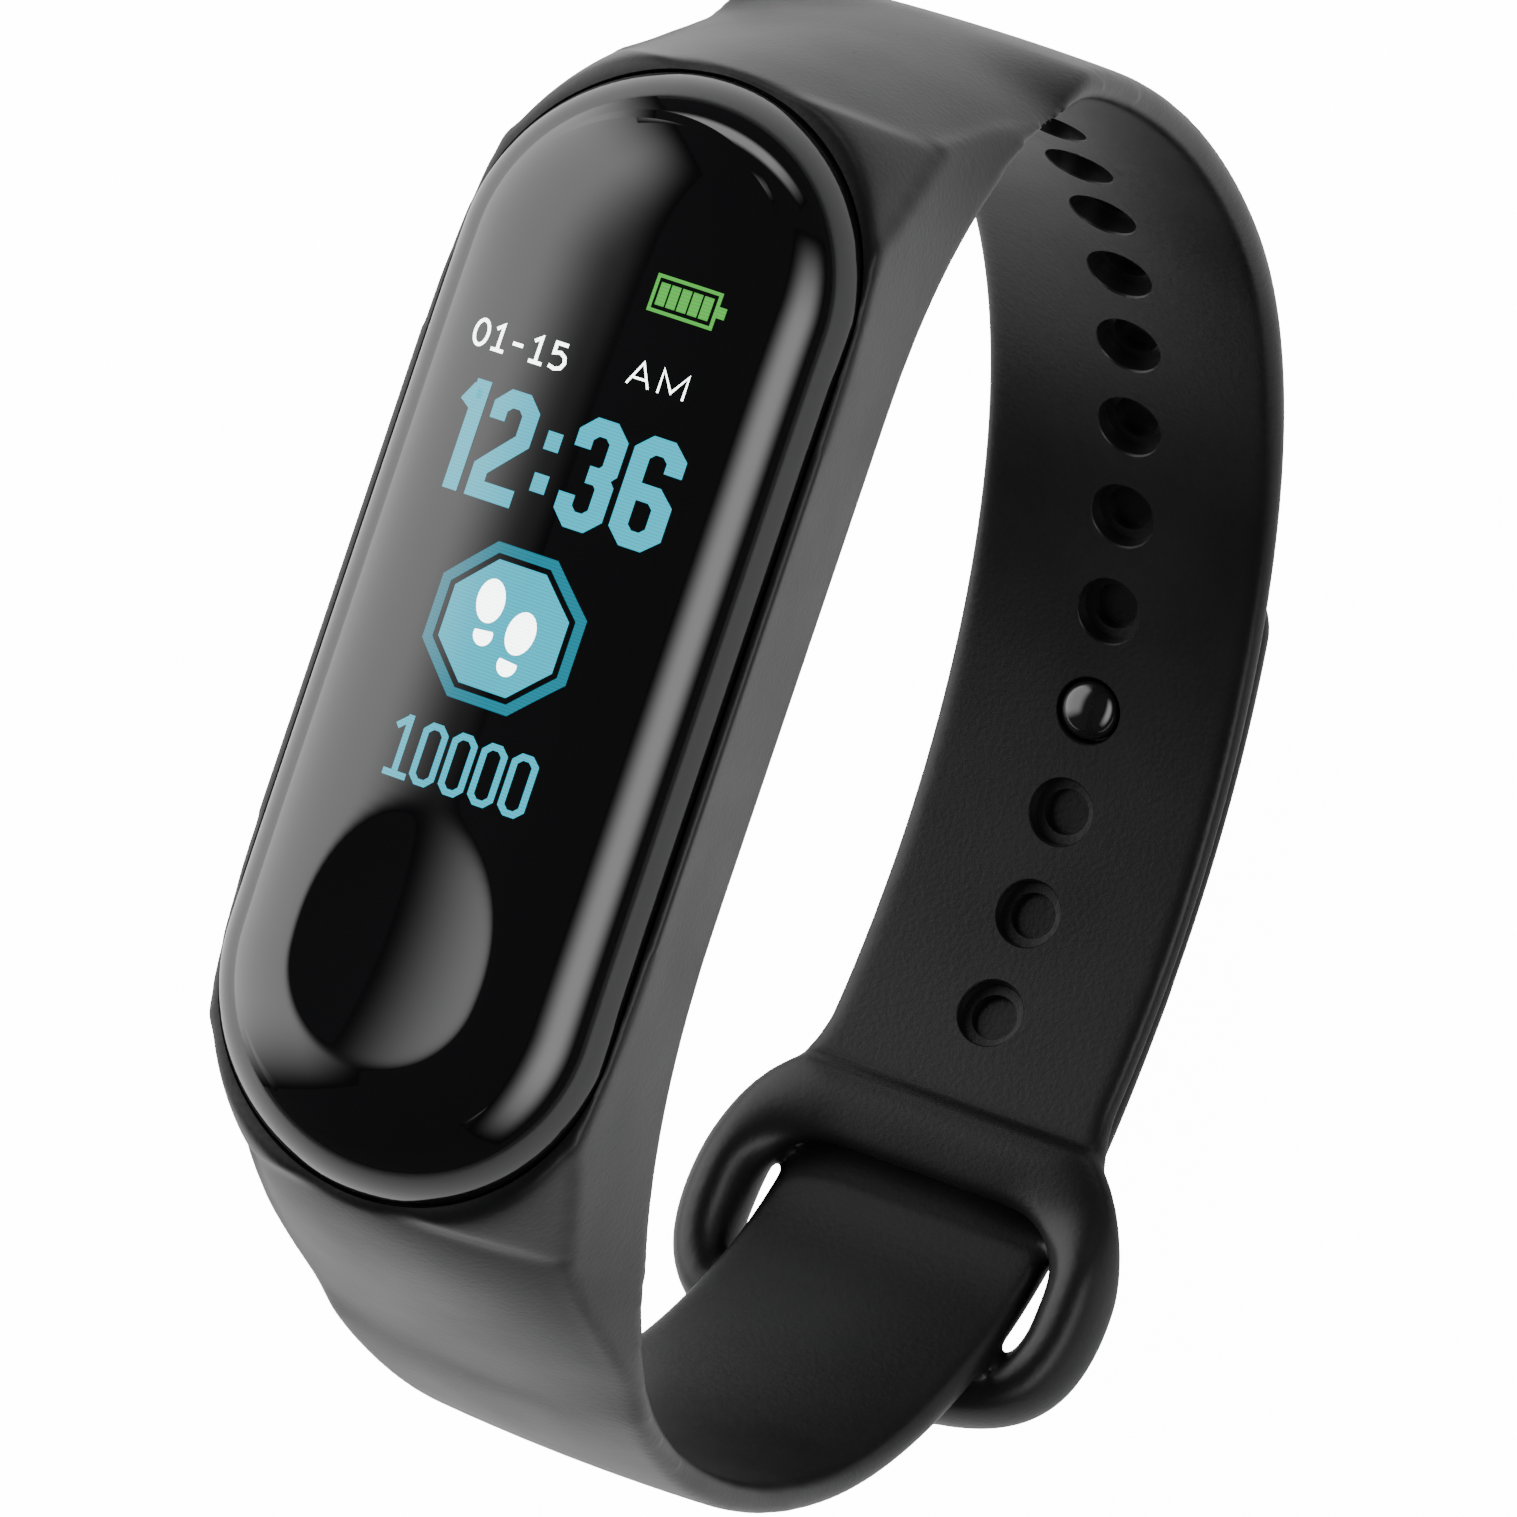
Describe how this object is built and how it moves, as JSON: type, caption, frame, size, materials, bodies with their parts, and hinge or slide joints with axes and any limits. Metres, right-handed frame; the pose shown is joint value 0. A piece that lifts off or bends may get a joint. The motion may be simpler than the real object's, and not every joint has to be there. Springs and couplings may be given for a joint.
{
  "type": "fitness tracker band",
  "caption": "Wrist activity tracker: domed touch capsule with a display in a one-piece rubber strap, threaded through a loop and locked by a stud.",
  "frame": {"origin": "On the wrist's axis, below the middle of the capsule, 30.5 mm from the strap's skin side under the capsule.", "axes": "+Z out of the display, +Y towards the display's 12 o'clock end, +X to the display's right, along the wrist."},
  "size_m": [0.022, 0.0643, 0.0758],
  "materials": {
    "silicone": "satin moulded silicone",
    "gloss_black": "polished",
    "lens": "polished domed cover, black behind",
    "adhesive": "double-sided tape",
    "black_plastic": "fine matt moulding",
    "seal_rubber": "moulded",
    "window": "polished, dark tint",
    "gold_plate": "plated, polished",
    "circuit_board": "solder mask",
    "chip_black": "moulded package",
    "led": "clear moulding",
    "battery_foil": "soft foil pouch",
    "steel": "drawn can",
    "tungsten": "sintered metal",
    "antenna_ceramic": "ceramic",
    "connector": "moulded",
    "display_glass": "laminated panel",
    "backlight": "diffuser film",
    "foam": "closed-cell foam",
    "flex_film": "polyimide film",
    "copper": "etched foil"
  },
  "bodies": {
    "strap": {"strap_cradle": "silicone", "strap_holed_arm": "silicone", "strap_loop": "silicone", "strap_clasp_arm": "silicone"},
    "tail": {"strap_tail": "silicone", "clasp_stud": "gloss_black", "clasp_button": "gloss_black"},
    "capsule": {"front_lens": "lens", "lens_adhesive": "adhesive", "upper_shell": "black_plastic", "housing_seal": "seal_rubber", "rear_cover": "black_plastic", "sensor_window": "window", "charge_contact_left": "gold_plate", "charge_contact_right": "gold_plate", "pulse_board": "circuit_board", "pulse_photodiode": "chip_black", "pulse_led_left": "led", "pulse_led_right": "led", "light_barrier": "chip_black", "battery": "battery_foil", "motor_base": "steel", "motor_can": "steel", "motor_shaft": "steel", "main_board": "circuit_board", "bluetooth_chip": "chip_black", "memory_chip": "chip_black", "motion_sensor": "chip_black", "touch_controller": "chip_black", "clock_crystal": "steel", "antenna": "antenna_ceramic", "battery_connector": "connector", "inner_frame": "black_plastic", "display_panel": "display_glass", "display_backlight": "backlight", "display_foam": "foam", "display_flex": "flex_film", "touch_electrode": "copper", "touch_post": "gold_plate"},
    "motor_rotor": {"motor_weight": "tungsten"}
  },
  "joints": [
    {"name": "capsule_release", "type": "slide", "parent": "strap", "child": "capsule", "axis": [0, 0, 1], "range_m": [0, 0.016]},
    {"name": "clasp_peel", "type": "hinge", "parent": "strap", "child": "tail", "pos_m": [0, -0.00792, -0.03276], "axis": [-1, 0, 0], "range_deg": [0, 60], "deforming": ["strap_holed_arm"]},
    {"name": "motor_spin", "type": "hinge", "parent": "capsule", "child": "motor_rotor", "pos_m": [0, -0.014, 0.0332], "axis": [0, 0, 1], "continuous": true}
  ]
}
